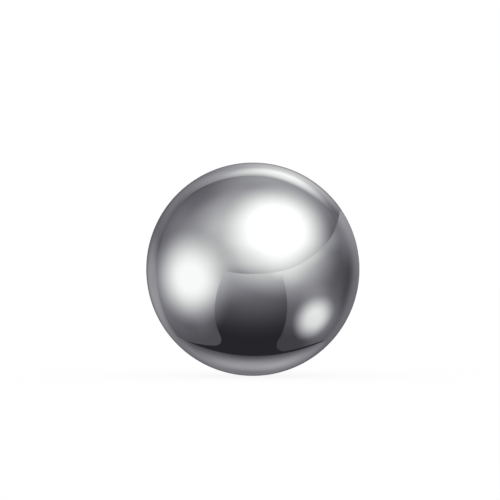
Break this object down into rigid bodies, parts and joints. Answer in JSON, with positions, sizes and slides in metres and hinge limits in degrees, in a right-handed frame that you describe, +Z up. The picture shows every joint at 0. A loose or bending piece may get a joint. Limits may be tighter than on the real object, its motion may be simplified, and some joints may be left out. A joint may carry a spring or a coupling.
{
  "type": "steel ball",
  "caption": "Solid polished steel ball that rolls between faces or seats in a cup, race, groove or socket.",
  "frame": {"origin": "centre of the ball", "axes": "+Z up, away from the surface the ball touches. +X to the right and +Y away in the front view. Every line through the centre is an axis of symmetry."},
  "size_m": [0.0254, 0.0254, 0.0254],
  "materials": {
    "polished_steel": "polished"
  },
  "bodies": {
    "root": {"ball": "polished_steel"}
  },
  "joints": []
}
